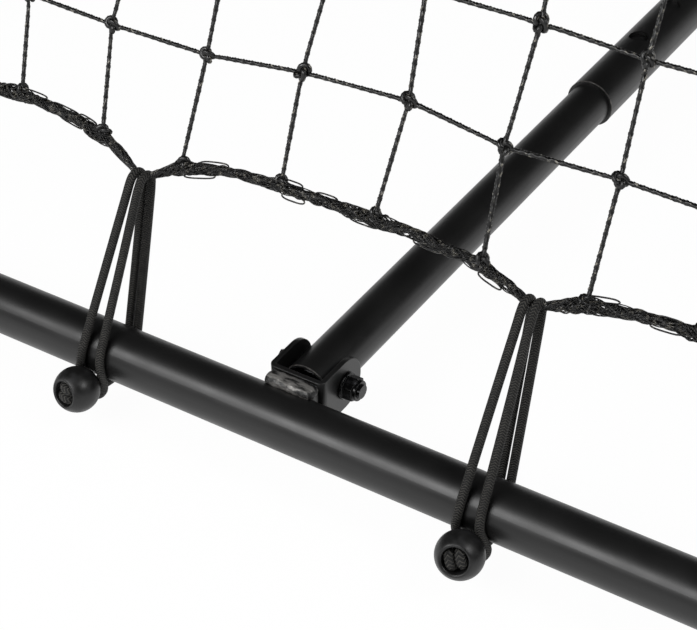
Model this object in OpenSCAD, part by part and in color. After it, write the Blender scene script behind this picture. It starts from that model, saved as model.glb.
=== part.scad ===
// Pitch back rebounder: a net in a tubular frame, leaning on a hinged rear frame
// with a telescoping brace between the two bottom rails.
// Units are millimetres, +X runs along the rails, +Y to the rear, +Z up.
// The origin lies on the floor, at the middle of the footprint.

/* [Net frame] */
// Centre to centre size of the square net frame
frame_size = 1140; // [1020:10:1260]
// Lean of the net frame, from the floor
net_tilt = 64; // [58:1:70]
// Outer diameter of the frame tubes
frame_tube_d = 32; // [30:0.5:34]
// Wall of the frame tubes
tube_wall = 1.5; // [1:0.1:2.5]
// Height of the rail axis over the floor
rail_height = 34; // [32:1:44]

/* [Net] */
// Meshes along each side
mesh_count = 15; // [11:2:15]
// Side of one square mesh
mesh_size = 60; // [56:1:62]
// Thickness of the net twine
twine_d = 2.6; // [2:0.1:4]
// Width of the knots
knot_w = 7; // [5:0.5:9]
// Thickness of the border rope
rope_d = 8; // [6:0.5:10]
// How far a bungee pulls the border rope out of line
rope_pull = 16; // [8:1:20]

/* [Bungee ties] */
// Distance from the axis of a side tube to the tie nearest it
tie_in = 210; // [200:5:240]
// Ties along each side
ties_per_side = 4; // [2:2:4]
// Diameter of the bungee cord
cord_d = 4.8; // [4:0.1:5.2]
// Diameter of the ball
ball_d = 26; // [24:0.5:28]
// Bore for the two cord ends at the back of the ball
ball_bore_d = 10.6; // [10.6:0.1:11.4]
// Wide mouth at the front of the ball, which takes the knot
ball_mouth_d = 14; // [13:0.5:16]
// Depth of the wide mouth from the ball's middle
ball_mouth_floor = 3; // [2:0.5:5]

/* [Brackets] */
// Thickness of the bracket plate
plate = 3; // [2:0.5:4]
// Height of the bracket plate
bracket_h = 31; // [28:0.5:34]
// Distance from the tube axis to the bracket's bolt
bolt_off = 38; // [37:0.5:42]
// How far the brace axis lies over the rail axis
brace_rise = 4; // [0:0.5:6]
// Gap on each side between an ear and the tube in it
ear_gap = 0.5; // [0.4:0.1:0.8]
// Pivot bolt diameter
bolt_d = 8; // [6:1:10]
// Radial clearance of a pivot bolt in its hole
bolt_clear = 0.08; // [0.04:0.01:0.1]
// Radial clearance of the rear end's hole round its bolt
rear_clear = 2; // [1.6:0.1:2.4]
// Length of tube past its pivot bolt
end_past_bolt = 12; // [9:0.5:13]

/* [Brace] */
// Distance between the two pivot bolts at the longest setting
brace_len = 700; // [640:10:760]
// Outer diameter of the inner brace tube and of the rear frame tubes
inner_tube_d = 28; // [26:0.5:28.5]
// Outer diameter of the outer brace tube
outer_tube_d = 32; // [31:0.5:34]
// Radial clearance between the two brace tubes
slide_clear = 0.05; // [0.03:0.01:0.08]
// Length of the outer tube in front of its pivot bolt
sleeve_len = 378; // [330:1:390]
// Distance from the front pivot bolt to the snap button
button_at = 392; // [370:1:400]
// Inner tube left behind the snap button
inner_tail = 60; // [40:1:80]
// Distance between adjusting holes
hole_pitch = 50; // [40:1:55]
// Number of adjusting holes
hole_count = 4; // [2:1:4]
// Snap button diameter
button_d = 12; // [8:0.5:12]
// Radial clearance of the button in the inner tube
button_clear = 0.08; // [0.04:0.01:0.1]
// Radial clearance of the button in the adjusting holes
hole_clear = 0.7; // [0.5:0.1:1]
// How far the sprung button stands out of the outer tube
button_proud = 1.8; // [1:0.1:3]
// How far the pressed button's crown lies under the inner tube's surface
button_sunk = 0.15; // [0.1:0.05:0.4]
// Thickness of the button's leaf spring
leaf_t = 0.8; // [0.5:0.1:1.2]

/* [Rear frame] */
// Height of the hinge along the side tube, over the middle of the net frame
hinge_over = 190; // [175:1:215]

/* [Corners and feet] */
// Bend radius of the corners, on the tube axis
bend_r = 60; // [50:1:70]
// Depth of the tube sockets
socket_len = 50; // [40:1:55]
// Wall of the corner mouldings
corner_wall = 3; // [2.5:0.5:4]
// Diameter of the corner screws
screw_d = 6; // [5:0.5:7]
// Distance of each foot from the axis of the side tube next to it
foot_in = 145; // [135:1:170]
// Length of a foot along its rail
foot_len = 34; // [28:1:40]
// Depth of a foot from front to rear
foot_depth = 84; // [80:1:96]
// Height of the straight edge of a foot
foot_edge = 7; // [5:1:10]
// Rubber round the rail in a foot
foot_wall = 5; // [4:0.5:7]

/* [Hidden] */
$fn = 48;

steel = [0.07, 0.07, 0.075];
plastic = [0.12, 0.12, 0.12];
rubber = [0.16, 0.16, 0.16];
hardware = [0.3, 0.3, 0.32];
twine = [0.1, 0.1, 0.1];

// Tube radii and the lines that everything else hangs on
frame_r = frame_tube_d / 2;
inner_r = inner_tube_d / 2;
outer_r = outer_tube_d / 2;
half = frame_size / 2;
net_half = mesh_count * mesh_size / 2;
rope_line = half - net_half;
rear_bolt_off = bolt_off - frame_r + inner_r + (outer_r - inner_r) / 2;

// Side view: [y, z] from the rail axis, u runs up the net, b to its rear
u = [cos(net_tilt), sin(net_tilt)];
b = [sin(net_tilt), -cos(net_tilt)];
front_pivot = [bolt_off, brace_rise];
rear_pivot = front_pivot + [brace_len, 0];
hinge_up = half + hinge_over;
hinge_pivot = hinge_up * u + bolt_off * b;
crossbar_at = rear_pivot + [rear_bolt_off, -brace_rise];
leg_vec = crossbar_at - hinge_pivot;
leg_len = norm(leg_vec);
leg_angle = atan2(leg_vec[1], leg_vec[0]);
foot_half = foot_depth / 2;
foot_x = half - foot_in;
base_shift = crossbar_at[0] / 2;

// Motion: the brace shortens hole by hole and both hinges follow it
travel = hole_pitch * (hole_count - 1);
arm_a = norm(front_pivot - hinge_pivot);
arm_b = norm(rear_pivot - hinge_pivot);
function apex(len) = acos((arm_a * arm_a + arm_b * arm_b - len * len) / (2 * arm_a * arm_b));
function base_angle(len) = acos((arm_a * arm_a + len * len - arm_b * arm_b) / (2 * arm_a * len));
leg_swing = apex(brace_len) - apex(brace_len - travel);
brace_swing = base_angle(brace_len - travel) - base_angle(brace_len);
echo(travel_mm = travel, leg_swing_deg = leg_swing, brace_swing_deg = brace_swing);
echo(shift_y = base_shift, front_pivot = front_pivot, rear_pivot = rear_pivot);
echo(hinge_pivot = hinge_pivot, crossbar = crossbar_at);

// ---- places -------------------------------------------------------------

// From the rail axis to the shared frame
module placed() { translate([0, -base_shift, rail_height]) children(); }

// Net plane: x along the rail, y up the net, z out of its front
module on_net() { placed() rotate([net_tilt, 0, 0]) children(); }

// Side number k of the frame, counted from the bottom rail to the right
module on_side(k) { on_net() translate([0, half, 0]) rotate([0, 0, 90 * k]) translate([0, -half, 0]) children(); }

// Brace line: x across, y to the rear from the front pivot bolt, z up
module on_brace() { placed() translate([0, front_pivot[0], front_pivot[1]]) children(); }

// Rear frame plane: x across, y up the legs from the crossbar, z to the front
module on_rear() {
    placed() translate([0, crossbar_at[0], crossbar_at[1]]) rotate([leg_angle + 180, 0, 0]) children();
}

// ---- building blocks ----------------------------------------------------

module rod_x(d, from, to) { translate([from, 0, 0]) rotate([0, 90, 0]) cylinder(d = d, h = to - from); }
module rod_y(d, from, to) { translate([0, from, 0]) rotate([-90, 0, 0]) cylinder(d = d, h = to - from); }

module tube_x(d, wall, from, to) {
    difference() {
        rod_x(d, from, to);
        rod_x(d - 2 * wall, from - 1, to + 1);
    }
}

// Frame tube along x between two corner sockets, drilled for their screws
module socketed_tube_x(d, len) {
    tube_end = len / 2 - tube_stop;
    difference() {
        tube_x(d, tube_wall, -tube_end, tube_end);
        for (s = [-1, 1])
            translate([s * (tube_end - socket_len / 2), 0, -d]) cylinder(d = screw_d + 0.2, h = 2 * d);
    }
}

// Corner moulding: a slimmer bend between a socket along +x and one along +y
module corner(d) {
    r = d / 2 + corner_wall;
    difference() {
        union() {
            translate([bend_r, bend_r, 0]) rotate([0, 0, 180]) rotate_extrude(angle = 90)
                translate([bend_r, 0]) circle(r = r - corner_step);
            rod_x(2 * r, bend_r, bend_r + socket_web + socket_len);
            rod_y(2 * r, bend_r, bend_r + socket_web + socket_len);
        }
        rod_x(d + 0.1, tube_stop, tube_stop + socket_len + 1);
        rod_y(d + 0.1, tube_stop, tube_stop + socket_len + 1);
        for (p = corner_screw_spots) translate([p[0], p[1], -d]) cylinder(d = screw_d + 0.2, h = 2 * d);
    }
}

// Button-head screw across a corner socket, with its cap nut below
corner_step = 1.2;
socket_web = 3;
tube_stop = bend_r + socket_web;
screw_at = tube_stop + socket_len / 2;
corner_screw_spots = [[screw_at, 0], [0, screw_at]];
screw_head_d = 10.5;
screw_head_h = 3.3;
nut_af = 10;
nut_h = 5;
module corner_screw(d) {
    r = d / 2 + corner_wall;
    translate([0, 0, -r - nut_h + 1]) cylinder(d = screw_d, h = 2 * r + nut_h - 1);
    translate([0, 0, r]) intersection() {
        cylinder(d = screw_head_d, h = screw_head_h);
        translate([0, 0, screw_head_h - screw_head_d]) sphere(r = screw_head_d);
    }
}
module corner_nut(d) {
    r = d / 2 + corner_wall;
    translate([0, 0, -r - nut_h]) difference() {
        intersection() {
            cylinder(d = nut_af / cos(30), h = nut_h, $fn = 6);
            translate([0, 0, nut_h]) sphere(r = nut_h * 1.22);
        }
        translate([0, 0, 1]) cylinder(d = screw_d, h = nut_h);
    }
}
module corner_screws(d) { for (p = corner_screw_spots) translate([p[0], p[1], 0]) corner_screw(d); }
module corner_nuts(d) { for (p = corner_screw_spots) translate([p[0], p[1], 0]) corner_nut(d); }

// Bent U bracket: base plate at y = back_of_tube, bolt along x at y = off
bracket_bend = 4;
module u_outline(w, depth) {
    difference() {
        union() {
            translate([-w / 2, bracket_bend]) square([w, depth]);
            translate([-w / 2 + bracket_bend, 0]) square([w - 2 * bracket_bend, bracket_bend + 1]);
            for (s = [-1, 1]) translate([s * (w / 2 - bracket_bend), bracket_bend]) circle(r = bracket_bend);
        }
        translate([-w / 2 + plate, bracket_bend]) square([w - 2 * plate, depth + 1]);
        translate([-w / 2 + bracket_bend, plate]) square([w - 2 * bracket_bend, bracket_bend]);
        for (s = [-1, 1])
            translate([s * (w / 2 - bracket_bend), bracket_bend]) circle(r = bracket_bend - plate);
    }
}
module u_bracket(tube_r, off, held_d) {
    w = held_d + 2 * (ear_gap + plate);
    depth = off - tube_r + bracket_h / 2;
    difference() {
        intersection() {
            translate([0, tube_r, -bracket_h / 2]) linear_extrude(bracket_h) u_outline(w, depth);
            union() {
                rod_x(bracket_h, -w, w, $fn = 96);
                translate([0, off, 0]) rod_x(bracket_h, -w, w);
                translate([-w, tube_r - 1, -bracket_h / 2]) cube([2 * w, off - tube_r + 1, bracket_h]);
            }
        }
        translate([0, off, 0]) rod_x(bolt_d + 2 * bolt_clear, -w, w);
    }
}

// Weld beads in the wedges between a base plate and its tube, on both sides of
// the line where they touch: the tube runs with the bolt, or up the plate
weld_in = 7;
weld_from = 5;
module weld_along(tube_r, held_d, rise) {
    len = held_d + 2 * ear_gap;
    reach = bracket_h / 2 - 2;
    difference() {
        for (span = [[-rise + weld_from, reach], [-reach, -rise - weld_from]])
            translate([-len / 2, tube_r - weld_in, span[0]]) cube([len, weld_in, span[1] - span[0]]);
        translate([0, 0, -rise]) rod_x(2 * tube_r, -len, len);
    }
}
module weld_across(tube_r, held_d) {
    reach = held_d / 2 + ear_gap - 1;
    difference() {
        for (s = [0, 1]) mirror([s, 0, 0])
            translate([weld_from, tube_r - weld_in, 1 - bracket_h / 2])
                cube([reach - weld_from, weld_in, bracket_h - 2]);
        cylinder(r = tube_r, h = 2 * bracket_h, center = true);
    }
}

// Pivot bolt along x with its washers, and the locking nut on the +x end
bolt_head_h = 5.3;
washer_t = 1.6;
washer_d = 16;
lock_nut_h = 8;
module pivot_bolt(held_d) {
    face = held_d / 2 + ear_gap + plate;
    rod_x(bolt_d, -face, face + washer_t + lock_nut_h + 1.5);
    rod_x(washer_d, -face - washer_t, -face);
    translate([-face - washer_t - bolt_head_h, 0, 0]) rotate([0, 90, 0])
        cylinder(d = bolt_d * 1.625 / cos(30), h = bolt_head_h, $fn = 6);
}
module pivot_nut(held_d) {
    face = held_d / 2 + ear_gap + plate;
    difference() {
        union() {
            rod_x(washer_d, face, face + washer_t);
            translate([face + washer_t, 0, 0]) rotate([0, 90, 0])
                cylinder(d = bolt_d * 1.625 / cos(30), h = lock_nut_h - 2, $fn = 6);
            rod_x(bolt_d * 1.5, face + washer_t, face + washer_t + lock_nut_h);
        }
        rod_x(bolt_d, face - 1, face + washer_t + lock_nut_h + 1);
    }
}

// Rubber foot clasping a rail, flat under
module foot(tube_d) {
    r = tube_d / 2 + foot_wall;
    translate([-foot_len / 2, 0, 0]) rotate([90, 0, 90]) linear_extrude(foot_len) difference() {
        union() {
            circle(r = r);
            polygon([
                [-foot_half, -rail_height], [foot_half, -rail_height],
                [foot_half, -rail_height + foot_edge], [r * sin(60), -r * cos(60)],
                [-r * sin(60), -r * cos(60)], [-foot_half, -rail_height + foot_edge]
            ]);
        }
        circle(d = tube_d + 0.1);
    }
}

// ---- net ----------------------------------------------------------------

// Ties stand at these places along a side
last_tie = half - tie_in;
tie_spacing = 2 * last_tie / (ties_per_side - 1);
tie_spots = [for (i = [0 : ties_per_side - 1]) (i - (ties_per_side - 1) / 2) * tie_spacing];

// Line of the border rope: the nearest tie pulls it out into a cusp
function tie_dist(x) = min([for (t = tie_spots) abs(x - t)]);
function tie_reach(x) = abs(x) > last_tie ? net_half - last_tie : tie_spacing / 2;
function rope_off(x) = rope_line - rope_pull * pow(max(0, 1 - tie_dist(x) / tie_reach(x)), 3);
rope_steps = mesh_count * 4;
function rope_side(k, d) = [
    for (i = [0 : rope_steps - 1])
        let (
            t = (i / rope_steps - 0.5) * 2,
            x = t * (net_half - d),
            y = rope_off(t * net_half) + d - half
        ) k == 0 ? [x, y] : k == 1 ? [-y, x] : k == 2 ? [-x, -y] : [y, -x]
];
function rope_loop(d) = [for (k = [0 : 3]) each rope_side(k, d)];

module rope_band() {
    translate([0, half]) difference() {
        polygon(rope_loop(-rope_d / 2));
        polygon(rope_loop(rope_d / 2));
    }
}

module lattice() {
    line = [for (i = [0 : mesh_count]) (i - mesh_count / 2) * mesh_size];
    for (s = line) {
        translate([s - twine_d / 2, 0]) square([twine_d, frame_size]);
        translate([-half, half + s - twine_d / 2]) square([frame_size, twine_d]);
    }
    for (x = line, y = line) translate([x, half + y]) rotate(45) square(knot_w, center = true);
}

// ---- bungee ties --------------------------------------------------------

// Half of the cord's closed route round one tube: [x, y, z] with the tube on x,
// y towards the net and z out of the front, from the knot to the far end of the hook
ball_at = [0, -24, 20];
tie_half = [
    [2.6, -24, 22.9], [2.6, -24, 8], [2.7, -22.8, 3], [2.8, -19.8, -2.5], [2.9, -16.6, -9.6],
    [3, -9.6, -16.6], [3.2, 0, -19.2], [3.4, 8, -18.6], [4, 60, -12.6], [4, 98, -8.8],
    [4, 107.4, -7.6], [4, 112.5, -6.7], [4, 114, -3.4], [4, 114, 3.4], [4, 112.5, 6.7],
    [4, 107.4, 7.6], [4, 98, 8.8], [4.4, 60, 13.4], [6, 14, 19], [8, 0, 19.2], [9.6, -10, 16.4],
    [10, -18, 9.4], [8, -24, 3.2], [4.4, -29.6, 0.8]
];
tie_route = concat(tie_half, [[0, -31, 0.6]],
    [for (i = [len(tie_half) - 1 : -1 : 0]) [-tie_half[i][0], tie_half[i][1], tie_half[i][2]]]);

// Tube of flat sides swept along points, with mitred rings
function unit(v) = v / norm(v);
function tangent(p, i) = i == 0 ? unit(p[1] - p[0])
    : i == len(p) - 1 ? unit(p[i] - p[i - 1])
    : unit(unit(p[i] - p[i - 1]) + unit(p[i + 1] - p[i]));
function carry(v, t) = unit(v - (v * t) * t);
function frames(p, i, v) = i == len(p) ? []
    : let (n = carry(v, tangent(p, i))) concat([n], frames(p, i + 1, n));
module sweep(p, d, sides) {
    normals = frames(p, 0, [1, 0, 0]);
    rings = [
        for (i = [0 : len(p) - 1])
            let (t = tangent(p, i), n = normals[i], m = cross(t, n))
                for (k = [0 : sides - 1])
                    p[i] + d / 2 * (cos(360 * k / sides) * n + sin(360 * k / sides) * m)
    ];
    last = (len(p) - 1) * sides;
    polyhedron(rings, concat(
        [[for (k = [0 : sides - 1]) k]],
        [
            for (i = [0 : len(p) - 2]) for (k = [0 : sides - 1])
                let (a = i * sides + k, c = i * sides + (k + 1) % sides)
                    each [[a, a + sides, c], [c, a + sides, c + sides]]
        ],
        [[for (k = [sides - 1 : -1 : 0]) last + k]]
    ));
}

cord_sides = 6;
module tie_cord() { sweep(tie_route, cord_d, cord_sides); }

// Drilled ball, with its wide mouth to the front
module tie_ball() {
    translate(ball_at) difference() {
        sphere(d = ball_d, $fn = 64);
        cylinder(d = ball_bore_d, h = ball_d + 2, center = true);
        translate([0, 0, ball_mouth_floor]) cylinder(d = ball_mouth_d, h = ball_d);
    }
}

// Two lobes of the knot on the cord ends, side by side in the ball's mouth
knot_lobe = 6;
lobe_gap = 0.1;
module tie_knot() {
    translate(ball_at + [0, 0, ball_mouth_floor + knot_lobe / 2 + lobe_gap])
        for (s = [-1, 1]) translate([s * (knot_lobe + lobe_gap) / 2, 0, 0]) sphere(d = knot_lobe);
}

module along_ties() { for (t = tie_spots) translate([t, 0, 0]) children(); }

// ---- net frame ----------------------------------------------------------

module frame_tube(k) { color(steel) on_side(k) socketed_tube_x(frame_tube_d, frame_size); }
module bottom_rail() { frame_tube(0); }
module side_tube_right() { frame_tube(1); }
module top_rail() { frame_tube(2); }
module side_tube_left() { frame_tube(3); }

// Corner k stands at the left end of side k
module frame_corner(k) { color(plastic) on_side(k) translate([-half, 0, 0]) corner(frame_tube_d); }
module corner_bottom_left() { frame_corner(0); }
module corner_bottom_right() { frame_corner(1); }
module corner_top_right() { frame_corner(2); }
module corner_top_left() { frame_corner(3); }

module frame_corner_screws() {
    color(hardware) for (k = [0 : 3]) on_side(k) translate([-half, 0, 0]) corner_screws(frame_tube_d);
}
module frame_corner_nuts() {
    color(hardware) for (k = [0 : 3]) on_side(k) translate([-half, 0, 0]) corner_nuts(frame_tube_d);
}

module front_foot(s) { color(rubber) placed() translate([s * foot_x, 0, 0]) foot(frame_tube_d); }
module front_foot_left() { front_foot(-1); }
module front_foot_right() { front_foot(1); }

module rail_bracket() {
    color(steel) placed() translate([0, 0, brace_rise]) {
        u_bracket(frame_r, bolt_off, inner_tube_d);
        weld_along(frame_r, inner_tube_d, brace_rise);
    }
}

// Hinge brackets stand on the backs of the side tubes
module at_hinge(s) {
    on_net() translate([s * half, hinge_up, 0]) rotate([-90, 0, 0]) children();
}
module hinge_bracket(s) {
    color(steel) at_hinge(s) {
        u_bracket(frame_r, bolt_off, inner_tube_d);
        weld_across(frame_r, inner_tube_d);
    }
}
module hinge_bracket_left() { hinge_bracket(-1); }
module hinge_bracket_right() { hinge_bracket(1); }

module brace_front_bolt() { color(hardware) on_brace() pivot_bolt(inner_tube_d); }
module brace_front_nut() { color(hardware) on_brace() pivot_nut(inner_tube_d); }
module hinge_bolts() {
    color(hardware) for (s = [-1, 1]) at_hinge(s) translate([0, bolt_off, 0]) pivot_bolt(inner_tube_d);
}
module hinge_nuts() {
    color(hardware) for (s = [-1, 1]) at_hinge(s) translate([0, bolt_off, 0]) pivot_nut(inner_tube_d);
}

module net_mesh() {
    color(twine) on_net() translate([0, 0, -twine_d / 2]) linear_extrude(twine_d) difference() {
        intersection() {
            lattice();
            translate([0, half]) polygon(rope_loop(0));
        }
        rope_band();
    }
}
module net_border_rope() {
    color(twine) on_net() translate([0, 0, -rope_d / 2]) linear_extrude(rope_d) rope_band();
}

module bungee_cords(k) { color(twine) on_side(k) along_ties() tie_cord(); }
module bungee_cords_bottom() { bungee_cords(0); }
module bungee_cords_right() { bungee_cords(1); }
module bungee_cords_top() { bungee_cords(2); }
module bungee_cords_left() { bungee_cords(3); }

module bungee_balls(k) { color(plastic) on_side(k) along_ties() tie_ball(); }
module bungee_balls_bottom() { bungee_balls(0); }
module bungee_balls_right() { bungee_balls(1); }
module bungee_balls_top() { bungee_balls(2); }
module bungee_balls_left() { bungee_balls(3); }

module bungee_knots() { color(twine) for (k = [0 : 3]) on_side(k) along_ties() tie_knot(); }

// ---- rear frame ---------------------------------------------------------

module rear_leg(s) {
    color(steel) on_rear() translate([s * half, 0, 0]) rotate([0, 0, 90]) difference() {
        tube_x(inner_tube_d, tube_wall, tube_stop, leg_len + end_past_bolt);
        translate([screw_at, 0, -inner_tube_d]) cylinder(d = screw_d + 0.2, h = 2 * inner_tube_d);
        translate([leg_len, 0, 0]) rotate([0, 0, 90]) rod_x(bolt_d + 2 * bolt_clear, -inner_tube_d, inner_tube_d);
    }
}
module rear_leg_left() { rear_leg(-1); }
module rear_leg_right() { rear_leg(1); }

module rear_crossbar() { color(steel) on_rear() socketed_tube_x(inner_tube_d, frame_size); }

module at_rear_corner(s) { on_rear() translate([s * half, 0, 0]) rotate([0, 0, s < 0 ? 0 : 90]) children(); }
module rear_corner_left() { color(plastic) at_rear_corner(-1) corner(inner_tube_d); }
module rear_corner_right() { color(plastic) at_rear_corner(1) corner(inner_tube_d); }
module rear_corner_screws() { color(hardware) for (s = [-1, 1]) at_rear_corner(s) corner_screws(inner_tube_d); }
module rear_corner_nuts() { color(hardware) for (s = [-1, 1]) at_rear_corner(s) corner_nuts(inner_tube_d); }

module rear_foot(s) {
    color(rubber) placed() translate([s * foot_x, crossbar_at[0], crossbar_at[1]]) foot(inner_tube_d);
}
module rear_foot_left() { rear_foot(-1); }
module rear_foot_right() { rear_foot(1); }

module on_rear_pivot() { placed() translate([0, crossbar_at[0], rear_pivot[1]]) rotate([0, 0, 180]) children(); }
module rear_bracket() {
    color(steel) on_rear_pivot() {
        u_bracket(inner_r, rear_bolt_off, outer_tube_d);
        weld_along(inner_r, outer_tube_d, brace_rise);
    }
}
module brace_rear_bolt() { color(hardware) on_brace() translate([0, brace_len, 0]) pivot_bolt(outer_tube_d); }
module brace_rear_nut() { color(hardware) on_brace() translate([0, brace_len, 0]) pivot_nut(outer_tube_d); }

// ---- brace --------------------------------------------------------------

module brace_inner_tube() {
    color(steel) on_brace() difference() {
        rod_y(inner_tube_d, -end_past_bolt, button_at + inner_tail);
        rod_y(inner_tube_d - 2 * tube_wall, -end_past_bolt - 1, button_at + inner_tail + 1);
        rod_x(bolt_d + 2 * bolt_clear, -inner_tube_d, inner_tube_d);
        translate([0, button_at, 0]) cylinder(d = button_d + 2 * button_clear, h = inner_tube_d);
    }
}

module brace_outer_tube() {
    front = brace_len - sleeve_len;
    color(steel) on_brace() difference() {
        rod_y(outer_tube_d, front, brace_len + end_past_bolt);
        rod_y(inner_tube_d + 2 * slide_clear, front - 1, brace_len + end_past_bolt + 1);
        translate([0, brace_len, 0]) rod_x(bolt_d + 2 * rear_clear, -outer_tube_d, outer_tube_d);
        for (i = [0 : hole_count - 1])
            translate([0, button_at + i * hole_pitch, 0])
                cylinder(d = button_d + 2 * hole_clear, h = outer_tube_d);
    }
}

// Snap button, pressed in: domed pin with a collar that stops it inside the inner
// tube when its spring pushes it out
collar_t = 1.2;
collar_over = 1.5;
collar_gap = 0.1;
button_top = inner_r - button_sunk;
button_travel = outer_r + button_proud - button_top;
collar_d = button_d + 2 * collar_over;
bore_r = inner_r - tube_wall;
collar_top = sqrt(bore_r * bore_r - collar_d * collar_d / 4) - collar_gap - button_travel;
echo(button_travel = button_travel, collar_top = collar_top);
module snap_button() {
    color(hardware) on_brace() translate([0, button_at, 0]) {
        intersection() {
            translate([0, 0, collar_top - collar_t / 2])
                cylinder(d = button_d, h = button_top - collar_top + collar_t / 2);
            translate([0, 0, button_top - button_d]) sphere(r = button_d);
        }
        translate([0, 0, collar_top - collar_t]) cylinder(d = collar_d, h = collar_t);
    }
}

// V-shaped leaf spring under the button, its lower leaf on the tube's floor
leaf_w = 7;
leaf_len = 38;
leaf_gap = 0.05;
module snap_spring() {
    top = collar_top - collar_t;
    floor_z = -sqrt(bore_r * bore_r - leaf_w * leaf_w / 4) + leaf_gap;
    mid = (top + floor_z) / 2;
    color(hardware) on_brace() translate([-leaf_w / 2, button_at, 0]) rotate([90, 0, 90]) linear_extrude(leaf_w)
        polygon([
            [collar_d / 2, top], [collar_d / 2, top - leaf_t], [0, top - leaf_t],
            [-leaf_len + leaf_t, mid], [0, floor_z + leaf_t], [collar_d / 2, floor_z + leaf_t],
            [collar_d / 2, floor_z], [0, floor_z], [-leaf_len, mid - leaf_t],
            [-leaf_len, mid + leaf_t], [0, top]
        ]);
}

bottom_rail();
top_rail();
side_tube_left();
side_tube_right();
corner_bottom_left();
corner_bottom_right();
corner_top_left();
corner_top_right();
front_foot_left();
front_foot_right();
rail_bracket();
hinge_bracket_left();
hinge_bracket_right();
frame_corner_screws();
frame_corner_nuts();
brace_front_bolt();
brace_front_nut();
hinge_bolts();
hinge_nuts();
net_mesh();
net_border_rope();
bungee_cords_bottom();
bungee_cords_right();
bungee_cords_top();
bungee_cords_left();
bungee_balls_bottom();
bungee_balls_right();
bungee_balls_top();
bungee_balls_left();
bungee_knots();
rear_leg_left();
rear_leg_right();
rear_crossbar();
rear_corner_left();
rear_corner_right();
rear_foot_left();
rear_foot_right();
rear_bracket();
rear_corner_screws();
rear_corner_nuts();
brace_rear_bolt();
brace_rear_nut();
brace_inner_tube();
snap_spring();
snap_button();
brace_outer_tube();
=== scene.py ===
"""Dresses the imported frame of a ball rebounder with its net, ties, welds and finishes.

Lengths are in metres and places are in the frame's own axes: +X runs along the bottom
rail, +Y to the rear and +Z up. A place on the net or on one of the four frame tubes is
given from the middle of the bottom rail as x along it, y up the net and z out of the
net's front.
"""

import math

import bpy
import numpy as np
from mathutils import Matrix, Vector


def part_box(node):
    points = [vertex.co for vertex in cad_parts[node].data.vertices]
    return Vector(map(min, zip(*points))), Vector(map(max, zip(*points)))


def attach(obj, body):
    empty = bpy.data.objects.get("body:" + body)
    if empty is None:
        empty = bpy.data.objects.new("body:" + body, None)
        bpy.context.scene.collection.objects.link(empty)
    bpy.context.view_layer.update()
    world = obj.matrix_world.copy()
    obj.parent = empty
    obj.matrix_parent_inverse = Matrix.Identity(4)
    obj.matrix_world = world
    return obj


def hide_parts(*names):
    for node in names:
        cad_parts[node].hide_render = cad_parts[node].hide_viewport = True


bl_info = {
    "name": "Ball rebounder",
    "version": (1, 0, 0),
    "blender": (4, 5, 0),
    "location": "View3D > Sidebar > Rebounder",
    "description": "Dresses a tube frame with a knotted net, a border rope and bungee ties",
    "category": "Object",
}

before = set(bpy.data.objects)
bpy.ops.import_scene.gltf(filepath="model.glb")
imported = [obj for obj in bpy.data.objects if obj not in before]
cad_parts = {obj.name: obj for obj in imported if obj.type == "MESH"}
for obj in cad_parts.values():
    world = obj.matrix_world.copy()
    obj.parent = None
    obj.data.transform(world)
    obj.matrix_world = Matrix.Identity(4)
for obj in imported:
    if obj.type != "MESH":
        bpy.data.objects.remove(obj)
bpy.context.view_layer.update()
MM = 0.001
UV_NAME = "along"


# ---- places --------------------------------------------------------------


def box(node):
    """A node's lowest and highest corners."""
    return np.array(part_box(node))


def middle(node):
    """Middle of a node's box."""
    return box(node).mean(axis=0)


RAIL = middle("bottom_rail")
RAIL_TO_TOP = middle("top_rail") - RAIL
HALF = np.linalg.norm(RAIL_TO_TOP) / 2
ACROSS = np.array([1.0, 0.0, 0.0])
NET_UP = RAIL_TO_TOP / np.linalg.norm(RAIL_TO_TOP)
NET_FRONT = np.cross(ACROSS, NET_UP)
SIDES = ("bottom", "right", "top", "left")


def on_side(points, side=0):
    """Places on one side of the square frame, turned to that side and put in the frame."""
    turn = side * math.pi / 2
    cos, sin = math.cos(turn), math.sin(turn)
    x, y, z = np.asarray(points, float).T
    y = y - HALF
    turned = np.stack([x * cos - y * sin, x * sin + y * cos + HALF, z], axis=1)
    return RAIL + turned @ np.array([ACROSS, NET_UP, NET_FRONT])


# ---- mesh building -------------------------------------------------------


def unit_rows(vectors):
    """Each row scaled to length 1."""
    return vectors / np.maximum(np.linalg.norm(vectors, axis=1, keepdims=True), 1e-12)


def run_along(path, closed=False):
    """Distance along a path at each point, and back at the first if it is closed."""
    if closed:
        path = np.vstack([path, path[:1]])
    return np.append(0, np.cumsum(np.linalg.norm(np.diff(path, axis=0), axis=1)))


def full_turn(count):
    """Angles of that many even steps round a circle."""
    return np.arange(count) * 2 * math.pi / count


def polar(radius, angle):
    """Points at those distances and angles, as (side, up) offsets."""
    return np.stack([radius * np.cos(angle), radius * np.sin(angle)], axis=-1)


def circle(radius, sides):
    """A round section."""
    return polar(radius, full_turn(sides))


def smooth_path(p, steps):
    """A curve through listed points, with that many steps between two of them."""
    padded = np.vstack([2 * p[0] - p[1], p, 2 * p[-1] - p[-2]])
    t = (np.arange(steps) / steps)[:, None]
    out = []
    for a, b, c, d in zip(padded, padded[1:], padded[2:], padded[3:]):
        out.append(0.5 * (2 * b + (c - a) * t + (2 * a - 5 * b + 4 * c - d) * t**2
                          + (3 * b - a - 3 * c + d) * t**3))
    return np.vstack([*out, p[-1:]])


def add_object(name, data):
    """Puts new data into the scene as an object."""
    made = bpy.data.objects.new(name, data)
    bpy.context.scene.collection.objects.link(made)
    return made


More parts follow.
